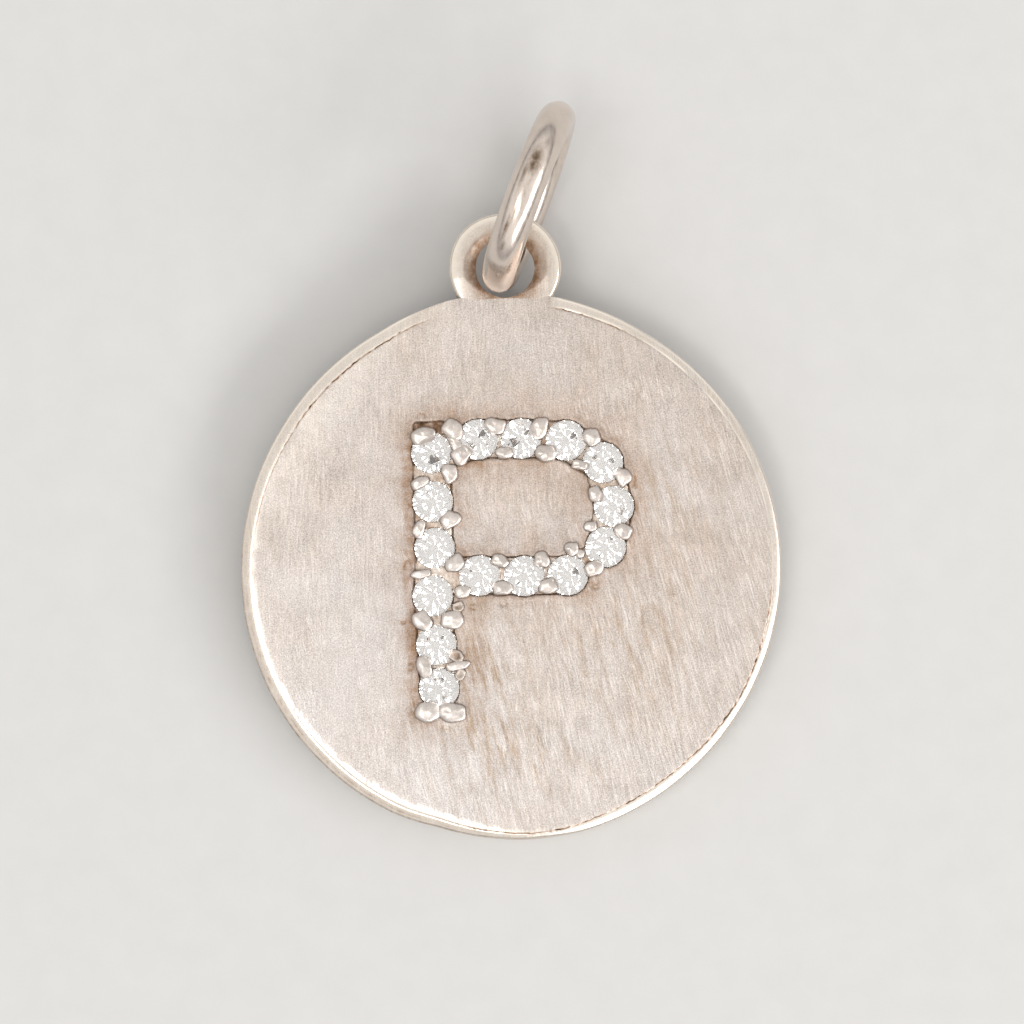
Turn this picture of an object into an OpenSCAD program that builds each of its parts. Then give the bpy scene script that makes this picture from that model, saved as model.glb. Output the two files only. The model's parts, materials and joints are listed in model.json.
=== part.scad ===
// A round disc pendant with a capital letter set in small round stones, hung on a jump ring.
// It lies on its back. The disc's lower back edge and the jump ring touch the table, and the
// ring's wire, which passes under the eye, lifts the top of the disc by a few degrees.
// Millimetres, +Z up, +Y towards the ring. The origin is the middle of its footprint on the table.
// The disc's own frame has its origin at the middle of the back face, and lay_down() tilts it.

/* [Disc] */
// Diameter of the disc
disc_d = 16; // [15:0.5:20]
// Thickness of the disc
disc_t = 1.2; // [1.05:0.05:1.6]
// Width of the filed bevel round the front edge
bevel_w = 0.26; // [0.1:0.02:0.4]
// Drop of that bevel from the face to the side wall
bevel_drop = 0.14; // [0.06:0.02:0.3]
// Chamfer of the back edge
back_chamfer = 0.08; // [0.04:0.01:0.14]

/* [Eye] */
// Width of the eye's metal round its hole
eye_wall = 0.79; // [0.6:0.01:1.0]
// Thickness of the eye
eye_t = 0.9; // [0.7:0.05:1.0]
// Reach of the rounding inside the hole, over the eye's metal
eye_round = 0.31; // [0.15:0.01:0.4]
// Chamfer of the eye's outer edges
eye_chamfer = 0.07; // [0.04:0.01:0.12]
// Free play of the jump ring's wire in the hole
eye_play = 0.69; // [0.5:0.01:1.0]
// Shift of the eye to the side of the disc's middle line
eye_shift = -0.18; // [-0.4:0.02:0.4]
// Rise of the solder over the disc's edge at the eye's feet
solder_rise = 0.24; // [0.1:0.02:0.3]
// Reach of the solder to each side, in degrees round the disc
solder_reach = 25; // [16:1:32]

/* [Jump ring] */
// Wire diameter of the jump ring
ring_wire_d = 1.05; // [0.8:0.05:1.2]
// Inner diameter of the jump ring
ring_inner_d = 3.85; // [3.6:0.05:5]
// Turn of the ring from the disc's middle line, in degrees
ring_turn = 20.5; // [0:0.5:35]
// Lean of the ring from upright, in degrees
ring_lean = 1.5; // [0:0.5:4]
// Gap between the ring and the eye that lies on it
ring_gap = 0.07; // [0.05:0.01:0.15]

/* [Stones] */
// Girdle diameter of each stone
stone_d = 1.2; // [1.1:0.02:1.3]
// Mean gap between neighbouring stones
stone_gap = 0.16; // [0.16:0.01:0.3]
// Table diameter as a share of the girdle
table_share = 0.57; // [0.53:0.01:0.64]
// Slope of the crown's main facets, in degrees
crown_angle = 34.5; // [30:0.5:36]
// Slope of the pavilion's main facets, in degrees
pavilion_angle = 40.75; // [39:0.25:42]
// Height of the girdle's edge above the face of the disc
stone_rise = 0.02; // [0:0.01:0.06]

/* [Setting] */
// Room between the stones and the wall of the letter's pocket
pocket_margin = 0.06; // [0.04:0.01:0.12]
// Depth of the letter's pocket below the face
pocket_depth = 0.2; // [0.12:0.01:0.26]
// Diameter of the beads that hold the stones
bead_d = 0.46; // [0.38:0.01:0.5]
// Diameter of the two large beads at the letter's foot
foot_bead_d = 0.62; // [0.5:0.01:0.66]
// Gap between a stone and the metal that holds it
seat_gap = 0.025; // [0.02:0.005:0.04]

/* [Hidden] */
$fn = 64;

metal_colour = "#cdc3b9";
ring_colour = "#c9c2bb";
stone_colour = "#e9edf0";

disc_r = disc_d / 2;
back_r = disc_r - back_chamfer;

eye_hole_r = (ring_wire_d + eye_play) / 2;
eye_r = eye_hole_r + eye_wall;
// The hole just clears the disc's side wall.
eye_hole_clear = 0.017 * eye_hole_r;
eye_y = disc_r + eye_hole_r + eye_hole_clear;
eye_bottom = disc_t - eye_t;
arc_steps = 10;
solder_steps = 8;

ring_r = (ring_inner_d + ring_wire_d) / 2;
ring_outer_r = ring_inner_d / 2 + ring_wire_d;
// The near end of the ring stands over the hole's edge, and its middle this far up the ring's line.
ring_reach = ring_outer_r - eye_hole_r;
// Height of the ring's middle when its lowest point touches the table
ring_z = ring_r * cos(ring_lean) + ring_wire_d / 2;

// The eye's underside lies on the inside of the ring, at the foot of the hole's rounding.
rest_u = eye_hole_r + eye_round;
rest_fall = sqrt(pow(ring_inner_d / 2 - ring_gap, 2) - pow(ring_reach - rest_u, 2));
rest_z = ring_z - rest_fall * cos(ring_lean);
rest_y = eye_y + rest_u * cos(ring_turn) + back_r;
rest_tilt = asin(rest_z / norm([rest_y, eye_bottom])) - atan2(eye_bottom, rest_y);

// Middle of the eye, on its underside, from the point where the disc's edge touches the table
eye_place = tilted([eye_shift, eye_y, eye_bottom]);
// The ring's lower half, which leans out sideways, is centred under the eye.
ring_side = -rest_fall * sin(ring_lean);
ring_from_edge = [
    eye_place[0] + ring_reach * sin(ring_turn) + ring_side * cos(ring_turn),
    eye_place[1] + ring_reach * cos(ring_turn) - ring_side * sin(ring_turn),
    ring_z
];

// The footprint's ends, from the same point, and where that point lies so that the footprint is centred
ring_half_y = ring_r * sqrt(1 - pow(sin(ring_turn) * cos(ring_lean), 2)) + ring_wire_d / 2;
far_y = ring_from_edge[1] + ring_half_y;
near_y = tilted([0, -disc_r, disc_t - bevel_drop])[1];
edge_y = -(near_y + far_y) / 2;

// Places of the stones in stone pitches from the middle of the disc: down the stem, over the
// top and round the bowl, and back along the middle bar
ACROSS = 0;
UP = 1;
TURN = 2;
STONES = [
    // across, up, turn of the facets in degrees
    [-1.73, 2.52, 0],
    [-1.70, 1.46, 31],
    [-1.66, 0.45, 12],
    [-1.70, -0.59, 38],
    [-1.62, -1.66, 7],
    [-1.56, -2.60, 24],
    [-0.72, 2.81, 15],
    [0.22, 2.83, 3],
    [1.20, 2.79, 29],
    [2.00, 2.31, 19],
    [2.24, 1.36, 41],
    [2.06, 0.47, 9],
    [1.24, -0.14, 26],
    [0.29, -0.16, 5],
    [-0.68, -0.15, 17],
];
// Neighbouring stones, which share a pair of beads
FROM = 0;
TO = 1;
SHIFT = 2;
LINKS = [
    // from stone, to stone, shift of the pair to the letter's right, in bead radii
    [0, 1, 0.3],
    [1, 2, 0.3],
    [2, 3, 0.3],
    [3, 4, 0.3],
    [4, 5, 0.3],
    [0, 6, 0],
    [6, 7, 0],
    [7, 8, 0],
    [8, 9, 0],
    [9, 10, 0],
    [10, 11, 0],
    [11, 12, 0],
    [12, 13, 0],
    [13, 14, 0],
];

stone_r = stone_d / 2;
stone_pitch = stone_d + stone_gap;
girdle_share = 0.03;
girdle_t = girdle_share * stone_d;
stone_z = disc_t + stone_rise;
function stone_place(i) = [STONES[i][ACROSS] * stone_pitch, STONES[i][UP] * stone_pitch];

// The stroke of the letter runs along lines through its stones, and the pocket has an equal margin on both sides.
pocket_half = stone_r + pocket_margin;
// The stem's right wall leaves room for its beads, which stand further out there.
stem_room = 2 * pocket_margin;
stem_top_x = stone_place(0)[0];
stem_foot_x = stone_place(5)[0];
top_y = stone_place(7)[1];
bar_y = stone_place(13)[1];
bowl_x = stone_place(10)[0];
bead_r = bead_d / 2;
foot_bead_r = foot_bead_d / 2;
// The large beads of the foot stand side by side below the last stone.
foot_bead_x = 1.1 * foot_bead_r;
foot_bead_y = stone_place(5)[1] - stone_r - foot_bead_r / 3;
foot_y = foot_bead_y - foot_bead_r - pocket_margin / 2;
bowl_round = 0.94 * (top_y - bar_y + 2 * pocket_half) / 2;
counter_round = 0.86 * (top_y - bar_y - 2 * pocket_half) / 2;
corner_round = 0.16 * stone_r;
// Beads stand against the pocket's wall, and those of a pair are set askew.
bead_side = pocket_half - bead_r;
bead_skew = 0.22 * bead_d;
// The dome's middle stands this far over the stones' edges, and the post's foot this far in the floor.
bead_top = 0.07 * bead_d;
bead_root = 0.07 * bead_d;
post_share = 0.86;

// Cut of the stones: eight main facets, with star, upper and lower half facets between them
MAINS = 8;
half_turn = 180 / MAINS;
table_r = table_share * stone_r;
crown_h = (stone_r - table_r) * tan(crown_angle);
star_r = (table_r * cos(half_turn) + stone_r) / 2;
star_z = (stone_r - star_r * cos(half_turn)) * tan(crown_angle);
half_r = 0.23 * stone_r;
half_z = -girdle_t - (stone_r - half_r * cos(half_turn)) * tan(pavilion_angle);
pavilion_h = stone_r * tan(pavilion_angle);

// A point of the disc's frame, seen from the point where its back edge touches the table
function tilted(p) = [
    p[0],
    (p[1] + back_r) * cos(rest_tilt) - p[2] * sin(rest_tilt),
    (p[1] + back_r) * sin(rest_tilt) + p[2] * cos(rest_tilt)
];

// Points of an arc about c, from angle a to angle b, with radii rx and ry
function arc(c, rx, ry, a, b, steps) =
    [for (i = [0:steps]) let (t = a + (b - a) * i / steps) [c[0] + rx * cos(t), c[1] + ry * sin(t)]];

function unit(v) = v / norm(v);

// Outline through corners [x, y, radius], each corner rounded by an arc between its tangent points
function rounded(corners) = [
    for (i = [0:len(corners) - 1])
        let (
            n = len(corners),
            c = [corners[i][0], corners[i][1]],
            a = unit([corners[(i + n - 1) % n][0], corners[(i + n - 1) % n][1]] - c),
            b = unit([corners[(i + 1) % n][0], corners[(i + 1) % n][1]] - c),
            half = acos(a * b) / 2,
            reach = corners[i][2] / tan(half),
            mid = c + unit(a + b) * corners[i][2] / sin(half),
            from = c + a * reach - mid,
            to = c + b * reach - mid,
            turn = atan2(from[0] * to[1] - from[1] * to[0], from * to),
            start = atan2(from[1], from[0]),
            steps = corners[i][2] > 1 ? 14 : 3
        )
        each arc(mid, corners[i][2], corners[i][2], start, start + turn, steps)
];

function letter_outline() = rounded([
    [stem_top_x - pocket_half, top_y + pocket_half, corner_round],
    [bowl_x + pocket_half, top_y + pocket_half, bowl_round],
    [bowl_x + pocket_half, bar_y - pocket_half, bowl_round],
    [stone_place(3)[0] + pocket_half + stem_room, bar_y - pocket_half, corner_round],
    [stem_foot_x + pocket_half + stem_room / 2, foot_y, corner_round],
    [stem_foot_x - pocket_half, foot_y, corner_round],
]);

function counter_outline() = rounded([
    [stone_place(1)[0] + pocket_half, top_y - pocket_half, 2 * corner_round],
    [bowl_x - pocket_half, top_y - pocket_half, counter_round],
    [bowl_x - pocket_half, bar_y + pocket_half, counter_round],
    [stone_place(2)[0] + pocket_half, bar_y + pocket_half, 2 * corner_round],
]);

function circle_of(r, z, count, start) =
    [for (i = [0:count - 1]) [r * cos(start + i * 360 / count), r * sin(start + i * 360 / count), z]];

// Puts what is made in the disc's frame on the table.
module lay_down() {
    translate([0, edge_y, 0]) rotate([rest_tilt, 0, 0]) translate([0, back_r, 0]) children();
}

// The disc: a plain back with a small chamfer, a side wall and a bevelled front edge
module disc_blank() {
    rotate_extrude()
        polygon([
            [0, 0],
            [back_r, 0],
            [disc_r, back_chamfer],
            [disc_r, disc_t - bevel_drop],
            [disc_r - bevel_w, disc_t],
            [0, disc_t],
        ]);
}

// The eye's section: rounded inside the hole, with small chamfers outside
module eye_section() {
    polygon(concat(
        arc([eye_hole_r + eye_round, eye_t / 2], eye_round, eye_t / 2, 270, 90, arc_steps),
        [
            [eye_r - eye_chamfer, eye_t],
            [eye_r, eye_t - eye_chamfer],
            [eye_r, eye_chamfer],
            [eye_r - eye_chamfer, 0],
        ]
    ));
}

module eye() {
    translate([eye_shift, eye_y, eye_bottom]) rotate_extrude() eye_section();
}

// Outline of the solder that runs along the disc's edge from the eye's feet, thinning out to each side
function solder_outline() = let (inner = disc_r - 2 * bevel_w) concat(
    [for (i = [-solder_steps:solder_steps])
        let (share = abs(i) / solder_steps, a = 90 - solder_reach * i / solder_steps)
            (disc_r + solder_rise * (1 - share) - share * bevel_drop / 3) * [cos(a), sin(a)]],
    [for (s = [1, -1]) inner * [s * sin(solder_reach), cos(solder_reach)]]
);

// The solder: a web that fills the bevel below the eye up to the face, and the run along the edge
module eye_solder() {
    web_z = eye_bottom + back_chamfer / 2;
    difference() {
        union() {
            intersection() {
                translate([eye_shift, eye_y, web_z])
                    cylinder(r = eye_r - eye_chamfer, h = disc_t - back_chamfer - eye_bottom);
                translate([eye_shift - eye_r, disc_r - 2 * bevel_w - eye_wall, 0])
                    cube([2 * eye_r, 2 * bevel_w + eye_wall + eye_hole_r / 3, disc_t]);
            }
            translate([0, 0, web_z])
                linear_extrude(height = disc_t - bevel_drop - back_chamfer / 2 - web_z)
                    polygon(solder_outline());
        }
        translate([eye_shift, eye_y, 0]) cylinder(r = eye_hole_r + eye_round, h = disc_t);
    }
}

module letter_pocket() {
    translate([0, 0, disc_t - pocket_depth])
        linear_extrude(height = disc_t)
            difference() {
                polygon(letter_outline());
                polygon(counter_outline());
            }
}

// The room that a stone takes with its gap: pavilion, girdle and crown, as turned shapes
module stone_room() {
    slope = tan(pavilion_angle);
    room_r = stone_r + seat_gap;
    // A faceted crown's star points stand a little over its cone.
    star_over = 0.05 * stone_r;
    rotate_extrude()
        polygon([
            [0, -girdle_t - pavilion_h - seat_gap / cos(pavilion_angle)],
            [room_r, -girdle_t - (stone_r - room_r) * slope - seat_gap / cos(pavilion_angle)],
            [room_r, star_over],
            [table_r + seat_gap, crown_h + star_over + seat_gap],
            [0, crown_h + star_over + seat_gap],
        ]);
}

// A bead: a short post from the pocket's floor with a domed head that laps over the stones' edges
module bead(r) {
    post_h = pocket_depth + stone_rise + bead_top;
    translate([0, 0, disc_t - pocket_depth - bead_root]) cylinder(r = r * post_share, h = post_h + bead_root);
    translate([0, 0, stone_z + bead_top]) sphere(r = r);
}

// A pair of beads for each two neighbouring stones, one on each side of the line between them
module bead_pairs() {
    for (link = LINKS) {
        a = stone_place(link[FROM]);
        b = stone_place(link[TO]);
        along = unit(b - a);
        side = [-along[1], along[0]];
        middle = (a + b) / 2 + [link[SHIFT] * bead_r, 0];
        for (s = [-1, 1]) translate(middle + s * (bead_side * side - bead_skew * along)) bead(bead_r);
    }
}

// The beads that no pair gives: at the top corner, where the bar meets the stem, and at the foot
module single_beads() {
    bar_start = (stone_place(14) + [stem_top_x, bar_y]) / 2;
    translate(stone_place(0) + [-0.4, 0.86] * stone_r) bead(bead_r);
    translate(bar_start + [-bead_r / 2, bead_side]) bead(bead_r);
    translate(bar_start + [bead_r, -bead_side]) bead(bead_r);
    for (s = [-1, 1])
        translate([stem_foot_x + s * foot_bead_x, foot_bead_y]) bead(foot_bead_r);
}

module pendant_disc() {
    color(metal_colour) lay_down() {
        difference() {
            union() {
                disc_blank();
                eye();
                eye_solder();
            }
            letter_pocket();
            for (i = [0:len(STONES) - 1]) translate(concat(stone_place(i), stone_z)) stone_room();
        }
        difference() {
            union() {
                bead_pairs();
                single_beads();
            }
            for (i = [0:len(STONES) - 1]) translate(concat(stone_place(i), stone_z)) stone_room();
        }
    }
}

module jump_ring() {
    color(ring_colour)
        translate(ring_from_edge + [0, edge_y, 0])
            rotate([0, 0, -ring_turn]) rotate([0, 90 - ring_lean, 0])
                rotate_extrude() translate([ring_r, 0]) circle(d = ring_wire_d);
}

// A brilliant-cut stone with its girdle's upper edge at z = 0
module brilliant() {
    top = circle_of(table_r, crown_h, MAINS, 0);
    stars = circle_of(star_r, star_z, MAINS, half_turn);
    girdle = circle_of(stone_r, 0, 2 * MAINS, 0);
    belt = circle_of(stone_r, -girdle_t, 2 * MAINS, 0);
    halves = circle_of(half_r, half_z, MAINS, half_turn);
    culet = [[0, 0, -girdle_t - pavilion_h]];
    // First index of each row of points
    s = MAINS;
    g = 2 * MAINS;
    b = 4 * MAINS;
    h = 6 * MAINS;
    c = 7 * MAINS;
    faces = concat(
        [[for (k = [MAINS - 1:-1:0]) k]],
        [for (k = [0:MAINS - 1]) [k, (k + 1) % MAINS, s + k]],
        [for (k = [0:MAINS - 1]) [k, s + k, g + 2 * k, s + (k + MAINS - 1) % MAINS]],
        [for (k = [0:MAINS - 1]) [s + k, g + 2 * k + 1, g + 2 * k]],
        [for (k = [0:MAINS - 1]) [s + k, g + (2 * k + 2) % (2 * MAINS), g + 2 * k + 1]],
        [for (j = [0:2 * MAINS - 1]) [g + j, g + (j + 1) % (2 * MAINS), b + (j + 1) % (2 * MAINS), b + j]],
        [for (k = [0:MAINS - 1]) [h + k, b + 2 * k, b + 2 * k + 1]],
        [for (k = [0:MAINS - 1]) [h + k, b + 2 * k + 1, b + (2 * k + 2) % (2 * MAINS)]],
        [for (k = [0:MAINS - 1]) [c, h + (k + MAINS - 1) % MAINS, b + 2 * k, h + k]]
    );
    polyhedron(points = concat(top, stars, girdle, belt, halves, culet), faces = faces, convexity = 2);
}

module stone(i) {
    color(stone_colour) lay_down()
        translate(concat(stone_place(i), stone_z)) rotate([0, 0, STONES[i][TURN]]) brilliant();
}

pendant_disc();
jump_ring();
for (i = [0:len(STONES) - 1])
    stone(i);
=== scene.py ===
import json
import math

import bpy
import numpy as np
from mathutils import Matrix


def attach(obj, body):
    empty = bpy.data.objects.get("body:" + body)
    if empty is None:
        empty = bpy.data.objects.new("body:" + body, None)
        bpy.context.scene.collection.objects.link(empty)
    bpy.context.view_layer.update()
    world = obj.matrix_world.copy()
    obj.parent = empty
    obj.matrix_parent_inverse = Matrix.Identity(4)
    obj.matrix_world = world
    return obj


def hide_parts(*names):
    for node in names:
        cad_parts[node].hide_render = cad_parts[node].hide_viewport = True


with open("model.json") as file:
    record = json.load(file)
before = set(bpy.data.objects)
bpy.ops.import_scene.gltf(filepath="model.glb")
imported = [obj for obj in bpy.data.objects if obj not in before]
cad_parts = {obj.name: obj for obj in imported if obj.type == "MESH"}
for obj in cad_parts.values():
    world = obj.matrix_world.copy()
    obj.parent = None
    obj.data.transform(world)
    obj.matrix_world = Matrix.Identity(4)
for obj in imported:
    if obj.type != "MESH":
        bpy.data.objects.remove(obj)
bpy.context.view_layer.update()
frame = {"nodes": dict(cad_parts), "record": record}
scene = bpy.context.scene
mm = 0.001


def unit(vector):
    return vector / np.linalg.norm(vector)


# The disc's own frame: millimetres from the middle of its back, x across, y to the eye, z out of the face
mounts = {mount["name"]: mount for mount in frame["record"]["mounts"]}
backPlace = np.array(mounts["back"]["pos_m"])
faceDir = unit(-np.array(mounts["back"]["axis"]))
acrossDir = np.array([1.0, 0.0, 0.0])
discAxes = np.array([acrossDir, np.cross(faceDir, acrossDir), faceDir])
discTilt = math.atan2(discAxes[1][2], discAxes[1][1])


def toRow(points):
    # from the disc's millimetres to the frame's metres
    return backPlace + (np.asarray(points) * mm) @ discAxes


def toDisc(points):
    # from the frame's metres to the disc's millimetres
    return (np.asarray(points) - backPlace) @ discAxes.T / mm


def nodePoints(name):
    # the vertices of a CAD node in the disc's millimetres
    vertices = frame["nodes"][name].data.vertices
    flat = np.zeros(len(vertices) * 3)
    vertices.foreach_get("co", flat)
    return toDisc(flat.reshape(-1, 3))


def smoothStep(low, high, value):
    # 0 up to low, 1 from high on, and 3t^2 - 2t^3 between them
    t = np.clip((value - low) / (high - low), 0, 1)
    return t * t * (3 - 2 * t)


def bell(value, width):
    # e to the power of minus (value / width) squared
    return np.exp(-((value / width) ** 2))


def fullTurn(count):
    # angles in radians, evenly spread round a circle
    return np.linspace(0, math.tau, count, endpoint=False)


def ripple(x, y, wave, seed, count=7):
    # sum of sines of about this wavelength, whose headings and phases come from the seed, within -1 to 1
    draw = np.random.default_rng(seed)
    total = 0 * x + 0 * y
    for heading, phase, stretch in draw.uniform([0, 0, 0.7], [math.tau, math.tau, 1.5], (count, 3)):
        along = x * math.cos(heading) + y * math.sin(heading)
        total = total + np.sin(math.tau * along / (wave * stretch) + phase)
    return total / count


def blendUnion(a, b, blend):
    # the smaller of two distances, rounded off where they are closer to each other than blend
    share = np.clip(0.5 + 0.5 * (b - a) / blend, 0, 1)
    return b + (a - b) * share - blend * share * (1 - share)


def ellipseDistance(x, y, middle, radii, turn):
    # distance outside an ellipse: with k = |p / r| and g = |p / r^2| it is k (k - 1) / g
    c, s = math.cos(math.radians(turn)), math.sin(math.radians(turn))
    px = (x - middle[0]) * c + (y - middle[1]) * s
    py = (y - middle[1]) * c - (x - middle[0]) * s
    k = np.hypot(px / radii[0], py / radii[1])
    g = np.hypot(px / radii[0] ** 2, py / radii[1] ** 2)
    return k * (k - 1) / np.maximum(g, 1e-6)


def strokeDistance(x, y, start, end, half):
    # distance outside a stroke with round ends: to the nearest point of its line, less half its width
    dx, dy = end[0] - start[0], end[1] - start[1]
    share = np.clip(((x - start[0]) * dx + (y - start[1]) * dy) / (dx * dx + dy * dy), 0, 1)
    return np.hypot(x - start[0] - share * dx, y - start[1] - share * dy) - half


def boxDistance(x, y, low, high, rounding):
    # distance outside an upright box with rounded corners
    qx = np.abs(x - (low[0] + high[0]) / 2) - (high[0] - low[0]) / 2 + rounding
    qy = np.abs(y - (low[1] + high[1]) / 2) - (high[1] - low[1]) / 2 + rounding
    return np.hypot(np.maximum(qx, 0), np.maximum(qy, 0)) + np.minimum(np.maximum(qx, qy), 0) - rounding


def roundRim(table, clock):
    # a value by the clock angle in degrees, straight between the table's angles
    return np.interp(clock, list(table), list(table.values()), period=360)


def gridQuads(index, closed=True):
    # quads between neighbouring rows of a table of vertex numbers, whose columns run round when closed
    after = np.roll(index, -1, axis=1)
    if not closed:
        index, after = index[:, :-1], after[:, :-1]
    return np.stack([index[:-1], index[1:], after[1:], after[:-1]], axis=-1).reshape(-1, 4)


def addThing(name, data):
    thing = bpy.data.objects.new(name, data)
    scene.collection.objects.link(thing)
    return thing


def makePiece(name, points, faces, marks, sharpAngle=35):
    # points in metres, faces as lists of rows of numbers, marks as one named value a vertex
    mesh = bpy.data.meshes.new(name)
    mesh.from_pydata(points.tolist(), [], [face for table in faces for face in table.tolist()])
    for label, values in marks.items():
        layer = mesh.attributes.new(label, "FLOAT", "POINT")
        layer.data.foreach_set("value", np.asarray(values, dtype=np.float32).ravel())
    mesh.shade_smooth()
    mesh.set_sharp_from_angle(angle=math.radians(sharpAngle))
    piece = addThing(name, mesh)
    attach(piece, "root")
    print(name, len(mesh.vertices), "vertices")
    return piece


# Stones, as they stand in the CAD
stoneNames = [name for name in sorted(frame["nodes"]) if name.startswith("stone")]
stoneSpans = [nodePoints(name) for name in stoneNames]
stoneMiddles = np.array([(p.min(0) + p.max(0))[:2] / 2 for p in stoneSpans])
stoneRadius = float(np.ptp(stoneSpans[0][:, 0])) / 2
tableLevel = float(stoneSpans[0][:, 2].max())
stone = {
    "girdle": 0.036,  # height of the girdle's band
    "crownSlope": math.tan(math.radians(34.5)),
    "pavilionSlope": math.tan(math.radians(40.75)),
    "table": 0.57,  # share of the radius that is flat on top
    "starOver": (0.03, 0.15),  # what the star points stand over the crown's cone, and their run-in
    "metalOver": (0.006, 0.01),  # how far metal clears the crown, and how far beside the girdle
    "gap": 0.02,  # room between stone and metal
    "seatRoom": 0.012,
    "cover": 0.005,  # how far past the girdle the metal counts as covered
}
stoneLevel = tableLevel - (1 - stone["table"]) * stoneRadius * stone["crownSlope"]

# Letter: the cut round the stones and beads, and the beads, measured on the photo in millimetres
letter = {
    "floor": 0.075,  # depth of the cut between the stones
    "wall": 0.06,  # width of its wall from above
    "stoneRoom": 0.01,  # room round a stone
    "stroke": 0.58,  # half the width of the cut between two stones
    "narrowStroke": 0.4,
    "blend": 0.07,
    "edgeNoise": (0.015, 0.3),  # unevenness of its outline, and its wavelength
    "lip": (0.012, 0.06),  # height and width of the metal pushed up along the cut
    "lipPeak": (2.9, 3.6, 0.9),  # place and width of its highest part
    "corner": ((-2.9, 3.6), (-1.9, 4.46)),  # the open corner of the cut above the first stone
}
strokes = [(0, 1), (1, 2), (2, 3), (3, 4), (4, 5), (0, 6), (6, 7), (7, 8), (8, 9), (9, 10), (10, 11),
           (12, 13), (13, 14)]
narrowStrokes = [(11, 12)]
# place across and up, half widths, turn in degrees, three-sidedness, and how hollow if it is
beads = [
    (-2.6, 3.93, 0.34, 0.23, 8, 0.02),
    (-1.72, 4.11, 0.3, 0.27, -40, 0.06),
    (-1.66, 3.72, 0.16, 0.27, 25, 0.04),
    (-1.47, 3.36, 0.25, 0.28, -30, 0.16),
    (-0.46, 4.22, 0.28, 0.23, -15, 0.14),
    (-0.2, 3.43, 0.25, 0.16, 5, 0.05),
    (-1.82, 2.82, 0.23, 0.26, 20, 0.14),
    (-2.7, 2.54, 0.25, 0.16, 25, 0.12),
    (-1.8, 1.44, 0.29, 0.22, 35, 0.14),
    (-2.71, 1.17, 0.17, 0.25, -15, 0.12),
    (-1.66, 0.16, 0.27, 0.23, 30, 0.1),
    (-2.66, -0.16, 0.28, 0.12, 12, 0.04),
    (-1.44, -0.68, 0.23, 0.17, 0, 0.08),
    (-0.33, 0.23, 0.24, 0.18, -25, 0.1),
    (-0.26, -0.57, 0.27, 0.2, 10, 0.08),
    (-1.74, -1.51, 0.33, 0.24, 5, 0.03),
    (-1.56, -1.13, 0.16, 0.14, 20, 0.05, 0.8),
    (-2.62, -1.54, 0.24, 0.3, 35, 0.06),
    (-2.56, -2.9, 0.22, 0.29, 15, 0.05),
    (-1.58, -2.87, 0.33, 0.13, 10, 0.06),
    (-1.62, -2.58, 0.2, 0.17, -20, 0.02, 1),
    (-1.5, -3.13, 0.14, 0.16, -35, 0.04, 0.7),
    (0.84, 4.16, 0.24, 0.3, -10, 0.1),
    (1.03, 3.42, 0.28, 0.24, 0, 0.05),
    (2.38, 3.89, 0.25, 0.24, 20, 0.05),
    (2.03, 3.07, 0.24, 0.14, -15, 0.14),
    (3.3, 2.72, 0.21, 0.27, 35, 0.16),
    (2.5, 2.2, 0.2, 0.22, 10, 0.05),
    (3.32, 1.11, 0.25, 0.21, -35, 0.05),
    (2.36, 1.25, 0.18, 0.15, 5, 0.05),
    (1.8, 0.59, 0.2, 0.19, 15, 0.15),
    (2.05, 0.44, 0.13, 0.12, 0, 0.05),
    (2.45, 0.01, 0.26, 0.22, 15, 0.05),
    (0.91, 0.27, 0.22, 0.22, 0, 0.12),
    (1.1, -0.51, 0.28, 0.2, 10, 0.08),
    (-2.46, -4.23, 0.33, 0.29, 0, 0.02),
    (-1.74, -4.25, 0.38, 0.27, 0, 0.02),
]


def cornerDistance(x, y):
    # distance outside the slightly skewed open corner of the cut
    return boxDistance(x + 0.05 * y - 0.2, y - 0.04 * x, *letter["corner"], 0.1)


def pocketDistance(x, y):
    # distance outside the letter's cut: the blended union of its stones' rooms, its beads' rooms, the
    # strokes between neighbouring stones and the open corner above the first stone
    far = cornerDistance(x, y)
    joint = (stoneMiddles[2][0], stoneMiddles[14][1])  # where the middle bar meets the stem
    bar = strokeDistance(x, y, stoneMiddles[14], joint, letter["stroke"])
    far = blendUnion(far, bar, letter["blend"])
    for middle in stoneMiddles:
        ring = np.hypot(x - middle[0], y - middle[1]) - stoneRadius - letter["stoneRoom"]
        far = blendUnion(far, ring, letter["blend"])
    for start, end in strokes + narrowStrokes:
        half = letter["narrowStroke" if (start, end) in narrowStrokes else "stroke"]
        bar = strokeDistance(x, y, stoneMiddles[start], stoneMiddles[end], half)
        far = blendUnion(far, bar, letter["blend"])
    for across, up, half, tall, turn, *_ in beads:
        round_ = ellipseDistance(x, y, (across, up), (half, tall), turn)
        far = blendUnion(far, round_, letter["blend"] / 2)
    return far + letter["edgeNoise"][0] * ripple(x, y, letter["edgeNoise"][1], 5)


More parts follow.
